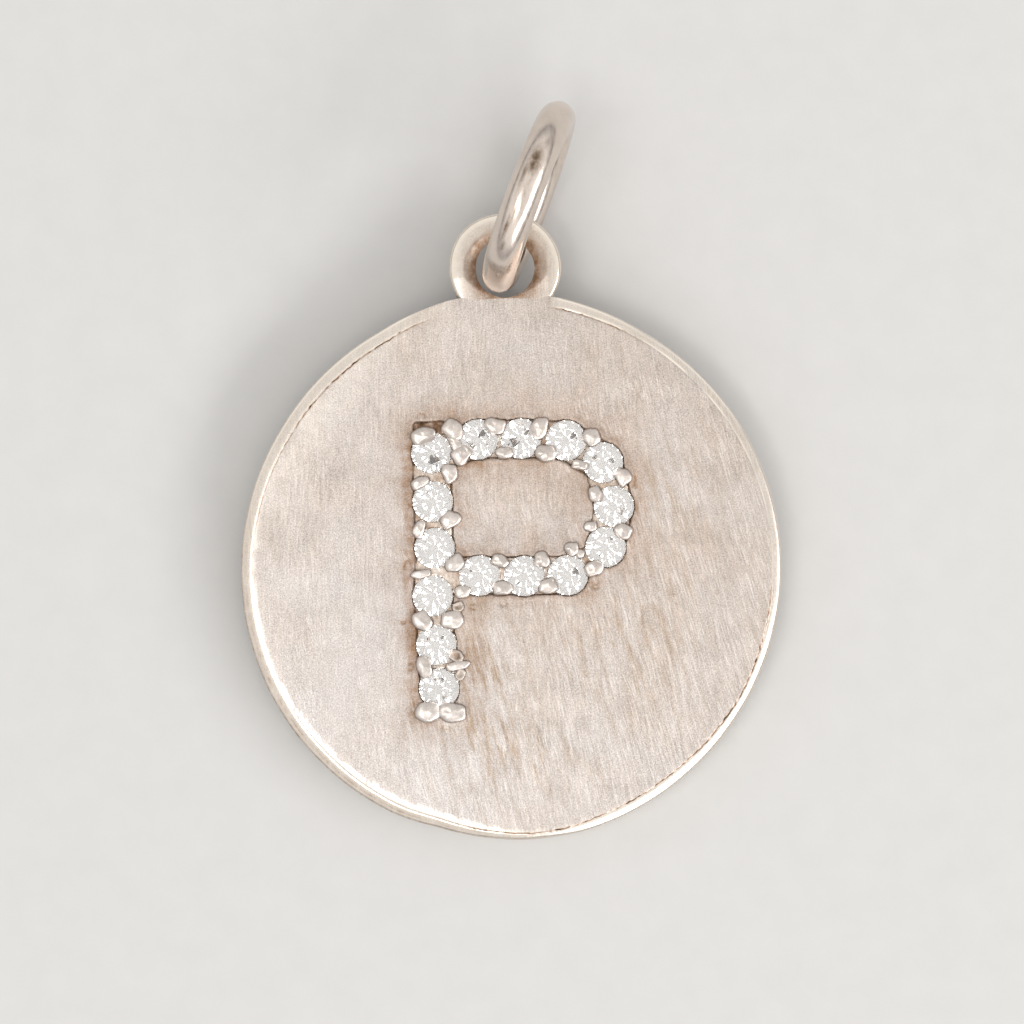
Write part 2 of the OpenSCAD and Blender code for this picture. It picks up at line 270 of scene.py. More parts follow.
# Disc: face level and rim. The tables give what the rim does by the clock angle in degrees.
disc = {
    "radius": float(np.ptp(nodePoints("pendant_disc")[:, 0])) / 2,
    "face": 1.2,
    "backChamfer": 0.08,
    "waves": (0.0035, 7, 2.4),  # hand-filed unevenness of the face: height and two wavelengths
    "edgeRound": 0.035,
    "bevelBow": 1.3,
    "grooveWidth": 0.028,
    "rollWidth": 0.11,
    "facetSlope": 0.4,
    "rimNoise": 0.006,
    "eyeClear": (0.95, 1.2),  # distances beside the eye's middle over which the rim's departures come in
    # how far the rim stands out of the circle
    "outline": {0: 0.1, 10: 0.145, 19: 0.085, 29: 0.03, 45: 0.005, 64: 0.02, 90: 0, 140: 0, 165: 0.05,
                180: 0.02, 190: -0.03, 196: -0.05, 202: 0, 206: 0.03, 240: 0.02, 270: -0.01, 300: -0.03,
                331: 0.02, 340: 0.09, 347: 0.145},
    # width of the bevel, and its fall
    "band": {10: 0.32, 30: 0.25, 60: 0.27, 90: 0.275, 120: 0.24, 141: 0.3, 160: 0.27, 172: 0.17, 185: 0.2,
             200: 0.27, 240: 0.32, 270: 0.32, 300: 0.35, 320: 0.36, 334: 0.34},
    "drop": {8: 0, 11: 0.1, 30: 0.12, 44: 0.08, 60: 0.07, 95: 0.075, 112: 0.12, 125: 0.13, 172: 0.1,
             190: 0.105, 250: 0.115, 300: 0.12, 330: 0.12, 344: 0.02, 348: 0},
    # depth of the line inside the bevel, fall of the rolled edge, width of the small facet outside
    "groove": {8: 0, 12: 0.014, 24: 0.01, 40: 0.004, 90: 0.005, 100: 0.013, 168: 0.013, 186: 0.008,
               245: 0.004, 270: 0.002, 302: 0.008, 308: 0.015, 332: 0.014, 342: 0},
    "roll": {0: 0, 90: 0.004, 176: 0.006, 188: 0.03, 205: 0.045, 225: 0.035, 250: 0.014, 290: 0.004, 340: 0},
    "facet": {46: 0, 60: 0.06, 72: 0.07, 100: 0.07, 118: 0.03, 170: 0},
    # the fine mesh round the letter: spacing, room round the stones' middles, and more below the foot
    "cell": 0.0365,
    "patchMargin": 0.98,
    "patchBelow": 0.25,
    # rings of the mesh round it: shares of the way out, then multiples of the bevel's width from the rim
    "spreadShares": (0.08, 0.2, 0.36, 0.52, 0.68, 0.84, 1),
    "spreadEnd": 5,
    "rimSteps": (4.2, 3.5, 2.9, 2.4, 2.05, 1.75, 1.5, 1.32, 1.2, 1.13, 1.08, 1.04, 1, 0.96, 0.92, 0.87, 0.8,
                 0.65, 0.45, 0.28, 0.12, 0.06, 0.02, 0),
    "wallShares": (0.96, 0.66, 0.33, 0),
    "backShares": (1, 0.7, 0.35),
}
eye = {
    "middle": (-0.18, 8.885),
    "hole": 0.87,
    "radius": 1.66,
    "thick": 0.9,
    "slope": 0.34,  # width of the worn slope inside the hole
    "slopeDrop": 0.19,
    "slopeBow": 1.5,
    "topDrop": 0.02,  # how far the top falls towards its outside
    "edge": 0.15,  # rounding of the outer edge
    "holeRound": (0.05, 0.06),  # how far the hole widens at the back, and over what height
    "sink": 0.004,  # how far its top lies under the disc's face
    "blend": (-0.5, 0.05),  # distances inside the disc's outline over which the top joins the face
    # how brown the slope, the rest of the top, the outer wall and the hole's wall are
    "stainAndShade": {"slope": 0.85, "reach": 0.52, "top": 0.1, "outside": 0.1, "hole": 0.7},
    # polish of the top and its outer edge: burnish, partly a painted highlight at that edge
    "polishAndSheen": (0.55, 0.6),  # of the top, and how much more at its outer edge
    "sides": 192,
    # rows of its section: shares of the hole's wall, of the slope and of the top, degrees round the edge,
    # shares of the outer wall, and insets of the back
    "rows": [(0, 0.25, 0.5, 0.75, 1), (0.1, 0.25, 0.4, 0.55, 0.7, 0.82, 0.92, 1),
             (0.08, 0.2, 0.35, 0.5, 0.65, 0.8, 0.92, 1), (15, 30, 45, 60, 75, 90), (0.7, 0.4, 0.12),
             (0.07, 0.4, 0.7)],
}


def rimRadius(clock):
    # the disc's radius and its small departures, which stay out of the eye's hole
    eyeOffset = disc["radius"] * np.sin(np.radians(clock)) - eye["middle"][0]
    outside = np.where(np.cos(np.radians(clock)) < 0, 1, smoothStep(*disc["eyeClear"], np.abs(eyeOffset)))
    noise = disc["rimNoise"] * ripple(8 * np.radians(clock), 0 * clock, 1.3, 3)
    return disc["radius"] + (roundRim(disc["outline"], clock) + noise) * outside


def rimPlace(x, y):
    # clock angle in degrees, distance inward from the rim, and the bevel's width there
    clock = np.degrees(np.arctan2(x, y)) % 360
    return clock, rimRadius(clock) - np.hypot(x, y), roundRim(disc["band"], clock)


def underStone(x, y):
    # where the nearest stone's middle is no farther than its radius and a hair
    nearest = np.min([np.hypot(x - a, y - b) for a, b in stoneMiddles], axis=0)
    return nearest < stoneRadius + stone["cover"]


def faceHeight(x, y):
    # level of the face: gentle waves, less the bevel's fall, the line inside it, the rolled edge, the
    # small facet and the worn outer edge
    clock, inward, band = rimPlace(x, y)
    drop = roundRim(disc["drop"], clock)
    high, longWave, shortWave = disc["waves"]
    height = disc["face"] + high * (ripple(x, y, longWave, 11) + 0.5 * ripple(x, y, shortWave, 12))
    height = height - drop * np.clip(1 - inward / band, 0, 1) ** disc["bevelBow"]
    height = height - roundRim(disc["groove"], clock) * bell(inward - band, disc["grooveWidth"])
    rolled = np.exp(-np.maximum(inward - band, 0) / disc["rollWidth"])
    height = height - roundRim(disc["roll"], clock) * rolled
    height = height - disc["facetSlope"] * np.maximum(roundRim(disc["facet"], clock) - inward, 0)
    worn = disc["edgeRound"] * np.clip(drop * 10, 0, 1)
    return height - worn * np.clip(1 - inward / disc["edgeRound"], 0, 1) ** 2


# Burnish: 0 is satin and 1 polished, and the polish also brightens the colour, partly as painted sheen and
# painted highlight. Tables by the clock angle, as above
burnish = {
    # how far the bevel is burnished side by side, partly as painted sheen, and how far its two edges are:
    # these are painted highlight lines
    "sheen": {0: 0.65, 25: 0.6, 48: 0.4, 95: 0.35, 116: 0.7, 180: 0.7, 255: 0.6, 300: 0.6},
    "bright": {6: 0, 11: 1.3, 55: 1.2, 62: 0.9, 92: 0.8, 104: 0.3, 180: 0.1, 200: 0, 270: 0.2, 295: 1,
               335: 1, 348: 0},
    # painted highlight lines along the bevel's inner and outer edges
    "paintedEdgeHighlights": (0.8, 0.03, 0.06),  # strength, and widths along the bevel's inner and outer edge
    # the burnished fringe inside the rolled edge, partly a painted highlight
    "rolled": 0.8,
    "worn": (0.22, 312, 24),  # a worn patch inside the bevel: strength, clock angle and spread
    # seats under the stones, burnished bright: partly painted light, which brightens the stones seen through
    "seat": 1.6,
    "bed": 0.38,  # the floor of the letter's cut
}


def polishAndSheenAt(x, y):
    # the bevel's burnish with painted sheen and painted highlight lines along its edges, a burnished fringe,
    # partly painted highlight, inside it where the edge is rolled, a worn patch at the upper left, and the
    # seats under the stones
    clock, inward, band = rimPlace(x, y)
    present = np.clip(roundRim(disc["drop"], clock) * 14, 0, 1)
    roll = roundRim(disc["roll"], clock)
    fringe = 0.11 * ripple(x, 0 * y, 0.12, 71) + 0.05 * ripple(x, y, 0.5, 72)
    reach = 0.04 + 3 * roll
    # the rolled edge's fringe: burnish that is partly a painted highlight
    inside = np.clip(roll / 0.02, 0, 1) * smoothStep(reach + 0.06, reach - 0.04, inward - band + fringe)
    # the inner painted highlight line comes in dashes, and only on the right, towards the strip lamp
    broken = np.clip(0.6 + 1.6 * ripple(x, y, 1.5, 73), 0, 1.3) * (x > 0)
    strength, inner, outer = burnish["paintedEdgeHighlights"]
    lines = bell(inward - band + 0.02, inner) * broken + bell(inward, outer)
    lines = strength * (roundRim(burnish["bright"], clock) * lines)
    bevel = present * smoothStep(0.03, -0.02, inward - band) * (roundRim(burnish["sheen"], clock) + lines)
    strength, middle, spread = burnish["worn"]
    worn = strength * bell(clock - middle, spread) * smoothStep(1.4, 0.1, inward - band)
    worn = worn * (1 + 0.8 * ripple(x, y, 0.9, 74) + 0.8 * ripple(x, y, 0.3, 75)) * (inward > band)
    layers = [bevel, burnish["rolled"] * inside, worn, burnish["seat"] * underStone(x, y)]
    return np.clip(np.maximum.reduce(layers), 0, burnish["seat"])


# Tarnish and painted shade: 1 is brown and 2 black. Tables by the clock angle
tarnishAndShade = {
    # how dark the line between face and bevel is, which is painted shade in that crease, and how brown the
    # outer edge is
    "line": {7: 0, 11: 1.4, 24: 1, 32: 0, 92: 0, 98: 1.8, 168: 1.9, 186: 1.5, 198: 0.2, 250: 0.1, 262: 0.3,
             300: 0.8, 308: 1.9, 332: 1.9, 342: 0},
    "outer": {0: 0, 120: 0, 180: 0.2, 196: 0.7, 250: 0.6, 300: 0.2, 330: 0},
    "lineWidth": 0.018,
    "outerWidth": 0.03,
    "streakAt": 0.13,  # where a brown streak runs on the bevel
    "halo": 0.5,  # width of the stain round the letter's cut
    "cutLine": (0.6, 0.03),  # strength and width of the line along the cut
    "floor": 0.12,
    "left": 0.22,  # the band left of the stem
    "stem": (0.85, (-1.15, -2.6), (0.6, 1.7)),  # patches: strength, middle and half widths
    "bowl": (0.9, (0.5, 1.8), (2.2, 1.5)),
    "marks": (0.38, 0.036),  # strength and width of the brown in the tool marks
    "side": 0.1,  # share of all this that the side wall and the back show
}


def rimStainAndShade(x, y):
    # the dark line along the bevel's inner edge, painted shade in that crease, and the brown of its outer
    # edge with a streak inside it
    clock, inward, band = rimPlace(x, y)
    uneven = np.clip(0.75 + 0.7 * ripple(x, y, 0.9, 81) + 1.1 * ripple(x, y, 0.2, 82), 0.1, 1.4)
    off = inward - band - 0.008 + 0.03 * ripple(x, y, 0.2, 83)
    # painted shade: the crease between face and bevel is darkened, up to near black
    line = roundRim(tarnishAndShade["line"], clock) * uneven * bell(off, tarnishAndShade["lineWidth"])
    streak = bell(inward - tarnishAndShade["streakAt"] + 0.02 * ripple(x, y, 0.7, 84), tarnishAndShade["lineWidth"]) * uneven
    edge = np.maximum(0.7 * bell(inward, tarnishAndShade["outerWidth"]) * uneven, 0.5 * streak)
    return np.maximum(line, roundRim(tarnishAndShade["outer"], clock) * (edge + 0.3 * (off < 0)))


def ringMark(x, y, middle, radii, open_, width=0.028):
    # a groove of bell section along an ellipse, faded out towards the open side, an angle in degrees
    far = ellipseDistance(x, y, middle, radii, 0)
    toOpen = np.cos(np.arctan2(y - middle[1], x - middle[0]) - math.radians(open_))
    return bell(far, width) * smoothStep(0.9, 0.2, toOpen)


# tool marks on the face: place, half sizes, side where they stay open
toolMarks = [
    ((-3.05, 0.07), (0.1, 0.17), 270),
    ((-3.17, -1.56), (0.05, 0.06), 90),
    ((-2.97, -2.9), (0.09, 0.1), 180),
    ((2.5, -0.4), (0.1, 0.055), 90),
    ((2.5, -0.53), (0.1, 0.055), 90),
    ((-1.1, -1.12), (0.13, 0.07), 0),
    ((-0.21, -1.03), (0.1, 0.07), 90),
    ((-1.91, -4.7), (0.12, 0.07), 90),
    ((-2.66, 4.52), (0.12, 0.08), 270),
    ((3.66, 2.46), (0.03, 0.22), 270),
    ((3.34, 0.87), (0.09, 0.05), 90),
]
toolMarkDepth = 0.02


def reliefHeight(x, y):
    # the face with the letter's cut, its raised lip, the stones' seats and the tool marks
    height = faceHeight(x, y)
    far = pocketDistance(x, y)
    peakX, peakY, peakWidth = letter["lipPeak"]
    lipShare = 0.55 + 0.45 * ripple(x, y, 1.1, 21) + bell(np.hypot(x - peakX, y - peakY), peakWidth)
    high, width = letter["lip"]
    height = height + high * lipShare * bell(far - width, width)
    for middle, radii, open_ in toolMarks:
        height = height - toolMarkDepth * ringMark(x, y, middle, radii, open_)
    cut = letter["floor"] * (1 + 0.14 * ripple(x, y, 0.32, 22) + 0.08 * ripple(x, y, 0.14, 23))
    height = height - cut * smoothStep(0.008, 0.008 - letter["wall"], far)
    for middle in stoneMiddles:
        out = np.hypot(x - middle[0], y - middle[1])
        seat = stoneLevel - stone["girdle"] - (stoneRadius - out) * stone["pavilionSlope"] - stone["gap"]
        height = np.where(out < stoneRadius + stone["seatRoom"], np.minimum(height, seat), height)
    return height


def patchAt(x, y, patch):
    # a soft patch: its strength, times a bell across, times a bell up
    strength, (middleX, middleY), (wide, tall) = patch
    return strength * bell(x - middleX, wide) * bell(y - middleY, tall)


def stainAndShadeAt(x, y):
    # strong along the cut, in its open corner and in the tool marks
    far = pocketDistance(x, y)
    patchy = 0.5 + 0.5 * ripple(x, y, 1.3, 31) + 0.2 * ripple(x, y, 0.35, 33)
    halo = np.exp(-np.maximum(far, 0) / tarnishAndShade["halo"]) * patchy
    left = smoothStep(0.34, 0.22, far) * smoothStep(-2.6, -2.9, x) * smoothStep(3.9, 3.2, y)
    strength, width = tarnishAndShade["cutLine"]
    line = strength * bell(far + 0.005, width) * (0.6 + 0.9 * ripple(x, y, 0.8, 32))
    floor = tarnishAndShade["floor"] * smoothStep(0, -0.05, far) * (1 + ripple(x, y, 0.5, 34))
    stem = patchy * patchAt(x, y, tarnishAndShade["stem"])
    bowl = patchy * smoothStep(0.45, 0.1, far) * patchAt(x, y, tarnishAndShade["bowl"])
    halo = np.maximum(halo, np.maximum(stem, bowl) * (far > 0)) + tarnishAndShade["left"] * left
    strength, width = tarnishAndShade["marks"]
    spots = sum(strength * ringMark(x, y, middle, radii, open_, width) for middle, radii, open_ in toolMarks)
    # the open corner of the cut, darkened: painted shade in that recess, with grime
    corner = smoothStep(0.02, -0.03, cornerDistance(x, y)) * (y > 3.95)
    corner = corner * np.clip(1 + 0.9 * ripple(x, y, 0.3, 35), 0.3, 1.6)
    # no stain under the stones, so the seats stay bright: painted light seen through them
    brown = np.where(underStone(x, y), 0, np.maximum.reduce([halo, floor, line, corner]))
    return np.clip(np.maximum(brown + spots, rimStainAndShade(x, y)), 0, 2)


# Ochre streaks of the face: strength, middle and half widths of each patch
streakPatches = [
    (0.68, (3.6, -1.6), (1.8, 2.5)),
    (1.1, (-0.9, -3), (0.9, 2.4)),
    (0.5, (4.6, 2.4), (1.6, 1.4)),
    (0.6, (0.3, -5.3), (2.4, 1.7)),
]
streakBase = 0.12  # everywhere


def streakArea(x, y):
    # the base and the sum of the patches, within 0 to 1
    return np.clip(streakBase + sum(patchAt(x, y, patch) for patch in streakPatches), 0, 1)


def makeDisc():
    # A fine grid over the letter, joined to loops that run out to the rim, down the side and over the
    # back to its middle. Loops near the rim lie at multiples of the bevel's width.
    low = stoneMiddles.min(0) - disc["patchMargin"] - [0, disc["patchBelow"]]
    high = stoneMiddles.max(0) + disc["patchMargin"]
    x, y = np.meshgrid(*(np.arange(low[way], high[way], disc["cell"]) for way in (0, 1)))
    patch = np.stack([x, y, reliefHeight(x, y)], axis=-1).reshape(-1, 3)
    number = np.arange(x.size).reshape(x.shape)
    edge = np.concatenate([number[0, :-1], number[:-1, -1], number[-1, :0:-1], number[:0:-1, 0]])
    start = patch[edge][:, :2]
    clock, _, band = rimPlace(*start.T)
    heading = start / np.hypot(*start.T)[:, None]
    outline = rimRadius(clock)
    spread = heading * (outline - disc["spreadEnd"] * band)[:, None]
    loops = [start + (spread - start) * share for share in disc["spreadShares"]]
    for step in disc["rimSteps"]:
        loops.append(heading * (outline - step * band)[:, None])
    top = [np.column_stack([loop, reliefHeight(loop[:, 0], loop[:, 1])]) for loop in loops]
    wallTop = top[-1][:, 2]
    side = []
    for share in disc["wallShares"]:
        wallLevel = disc["backChamfer"] + (wallTop - disc["backChamfer"]) * share
        side.append(np.column_stack([heading * outline[:, None], wallLevel]))
    for share in disc["backShares"]:
        flat = heading * ((outline - disc["backChamfer"]) * share)[:, None]
        side.append(np.column_stack([flat, 0 * outline]))
    rows = np.concatenate(top + side)
    points = np.concatenate([patch, rows, [[0, 0, 0]]])
    loopNumber = len(patch) + np.arange(len(rows)).reshape(-1, len(edge))
    index = np.concatenate([edge[None], loopNumber])
    last = index[-1]
    fan = np.stack([last, np.full_like(last, len(points) - 1), np.roll(last, -1)], axis=-1)
    faces = [gridQuads(number.T, closed=False), gridQuads(index), fan]
    x, y = points[:, 0], points[:, 1]
    onFace = np.arange(len(points)) < len(patch) + len(top) * len(edge)
    stainAndShade = stainAndShadeAt(x, y) * np.where(onFace, 1, tarnishAndShade["side"])
    bed = burnish["bed"] * smoothStep(0, -0.06, pocketDistance(x, y)) * (cornerDistance(x, y) > 0)
    marks = {"stainAndShade": stainAndShade, "polishAndSheen": np.maximum(polishAndSheenAt(x, y), bed), "streaks": streakArea(x, y)}
    return makePiece("discBody", toRow(points), faces, marks)


discBody = makeDisc()
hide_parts("pendant_disc")


def makeEye():
    # A closed section carried round the hole: up the wall, over the worn slope and the flat top, down the
    # outside and back below. Near the disc the slope narrows and the top joins the disc's face.
    around = fullTurn(eye["sides"])[None, :]
    toDiscShare = smoothStep(0.1, 0.95, -np.sin(around))
    free = 1 - toDiscShare
    wobble = 0.012 * np.sin(3 * around + 0.5) + 0.008 * np.sin(5 * around + 2)
    hole = eye["hole"] + 0.6 * wobble * free
    outer = eye["radius"] + wobble * free
    slope = eye["slope"] * (1 - 0.85 * toDiscShare) * (1 + 0.12 * np.sin(2 * around + 1))
    flat = outer - eye["edge"] - hole - slope
    bottom = disc["face"] - eye["thick"]
    top = disc["face"]
    widen, foot = eye["holeRound"]
    edgeTop = top - eye["topDrop"] * free
    wall, worn, level, turn, outside, inset = (np.array(table)[:, None] for table in eye["rows"])
    turn = np.radians(turn)
    radii = [hole + widen * (1 - wall) ** 2, hole + slope * worn, hole + slope + flat * level,
             outer - eye["edge"] * (1 - np.sin(turn)), outer + 0 * outside, outer - inset]
    levels = [bottom + foot + (eye["thick"] - eye["slopeDrop"] - foot) * wall + 0 * around,
              top - eye["slopeDrop"] * free * (1 - worn) ** eye["slopeBow"],
              top - eye["topDrop"] * free * level ** 2, edgeTop - eye["edge"] * (1 - np.cos(turn)),
              bottom + (edgeTop - eye["edge"] - bottom) * outside, bottom + 0 * (inset + around)]
    levels[0][-1] = top - eye["slopeDrop"] * free
    radii, levels = np.concatenate(radii), np.concatenate(levels)
    x = eye["middle"][0] + radii * np.cos(around)
    y = eye["middle"][1] + radii * np.sin(around)
    # inside the disc's outline the top follows the face, a hair below it
    inside = rimPlace(x, y)[1]
    wave = faceHeight(x * 0.999, y * 0.93) - disc["face"]
    near = smoothStep(*eye["blend"], inside)
    faceNear = np.minimum(faceHeight(x, y) - disc["face"], 0.01)
    onTop = levels > bottom + 0.6
    joined = levels + wave * (1 - near) * 0.3 + near * np.where(inside > 0, faceNear, 0)
    joined = joined - eye["sink"] * smoothStep(0, 0.05, inside)
    points = np.stack([x, y, np.where(onTop, joined, levels)], axis=-1).reshape(-1, 3)
    index = np.arange(len(points)).reshape(x.shape)
    index = np.concatenate([index, index[:1]])
    brown = eye["stainAndShade"]
    # browner and darker towards the hole
    brownTowardHole = smoothStep(brown["reach"], 0, radii - hole) * (1 - 0.2 * toDiscShare)
    below = brown["outside"] + brown["hole"] * (radii < (eye["hole"] + eye["radius"]) / 2)
    stainAndShade = np.where(onTop, brown["top"] + brown["slope"] * brownTowardHole, below)
    least, more = eye["polishAndSheen"]
    # burnish towards the outer edge, partly a painted highlight
    polishAndSheen = (least + more * smoothStep(outer - 0.3, outer - 0.08, radii)) * free
    return makePiece("eyeLoop", toRow(points), [gridQuads(index)], {"stainAndShade": stainAndShade, "polishAndSheen": polishAndSheen})


eyeLoop = makeEye()
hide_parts("pendant_disc")


def clearStones(points):
    # Metal over a stone is lifted onto its crown, and metal beside its girdle or below is pushed out.
    starHigh, starRun = stone["starOver"]
    lift, beside = stone["metalOver"]
    clear = stoneRadius + stone["gap"]
    for middle in stoneMiddles:
        away = points[:, :2] - middle
        out = np.hypot(away[:, 0], away[:, 1])
        rise = np.clip(stoneRadius - out, 0, (1 - stone["table"]) * stoneRadius) * stone["crownSlope"]
        crown = stoneLevel + rise + starHigh * smoothStep(0, starRun, stoneRadius - out) + lift
        over = (out < stoneRadius + beside) & (points[:, 2] > stoneLevel - stone["girdle"] / 2)
        points[:, 2] = np.where(over, np.maximum(points[:, 2], crown), points[:, 2])
        below = (out < clear) & ~over
        factor = np.where(below, clear / np.maximum(out, 0.05), 1)
        points[:, :2] = middle + away * factor[:, None]
    return points


dome = {
    "sides": 30,
    "wider": 1.13,  # than its half widths in the list
    "rise": (0.08, 0.3),  # height of the dome: least, and share of the smaller half width
    "bend": (14, 28, 42, 54, 65, 75, 83, 90),  # degrees from the top of the dome down to its edge
    "bow": (0.9, 0.6),  # powers of their sine and cosine
    "base": 0.012,  # level of the dome's edge over the stones' girdles
    # the post below: shares of the half width, and levels
    "post": ((0.99, 0.96, 0.92), (-0.04, -0.1, -0.22)),
    "block": 0.8,  # below 1 it makes the outline blocky
    "chips": (0.032, 0.24),  # height and wavelength of the dents
    "hollow": (0.8, 0.55),  # depth of a hollow as a share of the height, and its width
    # painted shade at the foot of each bead, where it meets the floor of the cut
    "footShade": (0.9, 0.11, -0.04),  # strength, and the levels over which it comes in
}


def makeBead(number, across, up, half, tall, turn, sided, hollow=0):
    # A dome on a post, from its top down: the outline is uneven and a little blocky, a hollow is a bell
    # taken out of the middle, and the foot is in the floor
    sides = dome["sides"]
    around = fullTurn(sides)
    uneven = 1 + 0.6 * sided * np.cos(3 * around + number) + 0.05 * np.sin(2 * around + 2 * number)
    uneven = uneven + 0.04 * np.sin(5 * around + number)
    height = dome["rise"][0] + dome["rise"][1] * min(half, tall)
    half, tall = dome["wider"] * half, dome["wider"] * tall
    bend = np.radians(dome["bend"])
    sineBow, cosineBow = dome["bow"]
    postOut, postLevel = dome["post"]
    out = np.concatenate([np.sin(bend) ** sineBow, postOut])
    level = np.concatenate([dome["base"] + height * np.cos(bend) ** cosineBow, postLevel])
    depth, width = dome["hollow"]
    level = level - hollow * height * depth * bell(out, width) * (level > 0)
    c, s = math.cos(math.radians(turn)), math.sin(math.radians(turn))
    cosine, sine = (np.sign(v) * np.abs(v) ** dome["block"] for v in (np.cos(around), np.sin(around)))
    px = half * out[:, None] * (cosine * uneven)[None]
    py = tall * out[:, None] * (sine * uneven)[None]
    x = across + px * c - py * s
    y = up + px * s + py * c
    high, wave = dome["chips"]
    chips = high * ripple(x, y, wave, 40 + number) * np.cos(np.clip(out, 0, 1) * 1.4)[:, None]
    z = stoneLevel + level[:, None] + chips * (level[:, None] > 0)
    points = clearStones(np.stack([x, y, z], axis=-1).reshape(-1, 3))
    top = points[:sides].mean(0) + [0, 0, 0.004 * (1 - 2 * hollow)]
    foot = points[-sides:].mean(0)
    points = np.concatenate([points, [top, foot]])
    # painted shade darkens the foot of the bead and the middle of a hollow
    strength, high, low = dome["footShade"]
    stainAndShade = strength * smoothStep(stoneLevel + high, stoneLevel + low, points[:, 2])
    hollowShade = np.append(np.repeat(hollow * bell(out, 0.75), sides), [hollow, 0])
    rows = np.arange(len(points) - 2).reshape(-1, sides)
    first, last, peak, end = rows[0], rows[-1], len(points) - 2, len(points) - 1
    cap = np.stack([np.full(sides, peak), first, np.roll(first, -1)], axis=-1)
    base = np.stack([last, np.full(sides, end), np.roll(last, -1)], axis=-1)
    return points, gridQuads(rows), np.concatenate([cap, base]), np.maximum(stainAndShade, hollowShade)


def makeBeads():
    # all beads in one mesh: the vertex numbers of each begin where those of the one before it end
    points, quads, fans, paintedShades = zip(*[makeBead(number, *row) for number, row in enumerate(beads)])
    starts = np.cumsum([0] + [len(table) for table in points])
    faces = [table + start for tables in (quads, fans) for table, start in zip(tables, starts)]
    marks = {"stainAndShade": np.concatenate(paintedShades)}
    return makePiece("settingBeads", toRow(np.concatenate(points)), faces, marks, 40)


settingBeads = makeBeads()
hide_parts("pendant_disc")

# Jump ring: round wire, from its mount
link = {
    "radius": 2.45,
    "wire": 0.525,
    "steps": (360, 60),  # round the ring, and round the wire
    "dent": 0.004,
    "dentFade": (-0.9, -0.5),  # levels, as shares of the radius, over which the dents come in
    "stainAndShade": (0.1, 0.06),  # everywhere: strength, and its unevenness
    # tarnish: degrees round the ring from its near end over the top, degrees round the wire from its
    # outer side, half length and half width in millimetres, strength
    "spots": [(106, -3, 0.36, 0.17, 1.2), (103, 10, 0.3, 0.12, 0.7), (97, -22, 0.5, 0.07, 0.8),
              (118, 14, 0.2, 0.1, 0.5), (96, 6, 0.3, 0.05, 0.6), (62, -16, 0.34, 0.06, 1),
              (52, -8, 0.14, 0.06, 1.1), (74, -6, 0.4, 0.05, 0.7), (84, 2, 0.5, 0.05, 0.5),
              (34, 0, 0.16, 0.5, 0.6)],
}
linkPlace = np.array(mounts["chain_loop"]["pos_m"])
linkAxis = unit(np.array(mounts["chain_loop"]["axis"]))
linkNear = unit(np.cross(linkAxis, [0, 0, 1]))
linkUp = np.cross(linkNear, linkAxis)


def makeLink():
    # A ring of round wire: the wire's circle is carried round the larger circle, with shallow dents.
    around = fullTurn(link["steps"][0])[:, None]
    wire = fullTurn(link["steps"][1])[None, :]
    along, across = around * link["radius"], wire * link["wire"]
    dent = link["dent"] * (ripple(along, across, 1.1, 61) - 0.5 + 0.4 * ripple(along, across, 0.4, 62))
    thick = link["wire"] + dent * smoothStep(*link["dentFade"], np.sin(around))
    out = link["radius"] + thick * np.cos(wire)
    points = (out * np.cos(around))[..., None] * linkNear + (out * np.sin(around))[..., None] * linkUp
    points = linkPlace + (points + (thick * np.sin(wire))[..., None] * linkAxis) * mm
    points = points.reshape(-1, 3)
    index = np.arange(len(points)).reshape(link["steps"])
    index = np.concatenate([index, index[:1]])
    least, uneven = link["stainAndShade"]
    stainAndShade = least + uneven * ripple(along, across, 0.8, 63)
    for where, side, long_, wide, strength in link["spots"]:
        far = (around - math.radians(where)) * link["radius"] / long_
        over = np.angle(np.exp(1j * (wire - math.radians(side)))) * link["wire"] / wide
        stainAndShade = np.maximum(stainAndShade, strength * bell(np.hypot(far, over), 1))
    return makePiece("linkRing", points, [gridQuads(index)[:, ::-1]], {"stainAndShade": stainAndShade})


linkRing = makeLink()
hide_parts("jump_ring")


# Materials: noises by scale, detail, roughness and, for some, a stretch of the place before: a high
# number makes the marks narrow and a low one long. Places are in the disc's millimetres.
noises = {
    "bend": (0.4, 2, 0.5),  # of the brushed lines
    "lines": (1, 3, 0.62),
    "broadLines": (1, 2, 0.5, (0.37, 0.45, 1)),
    "scratches": (1, 2, 0.6, (9, 0.45, 1)),
    "patches": (0.9, 1, 0.5),  # where the scratches are
    "streaks": (1, 4, 0.7, (5, 0.65, 1)),
    "drift": (0.32, 3, 0.6),  # from clean to warm
    "stainMottle": (4, 4, 0.7),
    "grain": (26, 2, 0.6),
    "mottle": (0.9, 6, 0.75),
    "lineStrength": (0.6, 2, 0.5),
    "paintedFacetShade": (1.1, 3, 0.7),  # in the stones
    "floor": (900, 3, 0.6),  # in metres
}
noiseSpan = (0.3, 0.7)  # most of a noise lies between these
lineSpan = (0.35, 0.65)
# the colour that the strongest stain and painted shade turn to
blackStainAndShade = (0.03, 0.022, 0.018)
# pale colour of scratches, pale streaks and painted glints
paleScratchAndGlint = (1, 0.98, 0.96)
scratchTurn = -0.28
lineFan = 0.045


def setInputs(node, values):
    # sockets are linked, and numbers and colours are set
    for key, value in values.items():
        if isinstance(value, bpy.types.NodeSocket):
            node.id_data.links.new(value, node.inputs[key])
        else:
            node.inputs[key].default_value = value
    return node


def addNode(kind, inputs, tree=None, **settings):
    # a node goes into the tree of the sockets that feed it, unless a tree is given
    feeds = [value for value in inputs.values() if isinstance(value, bpy.types.NodeSocket)]
    node = (tree or feeds[0].id_data).nodes.new("ShaderNode" + kind)
    for key, value in settings.items():
        setattr(node, key, value)
    return setInputs(node, inputs)


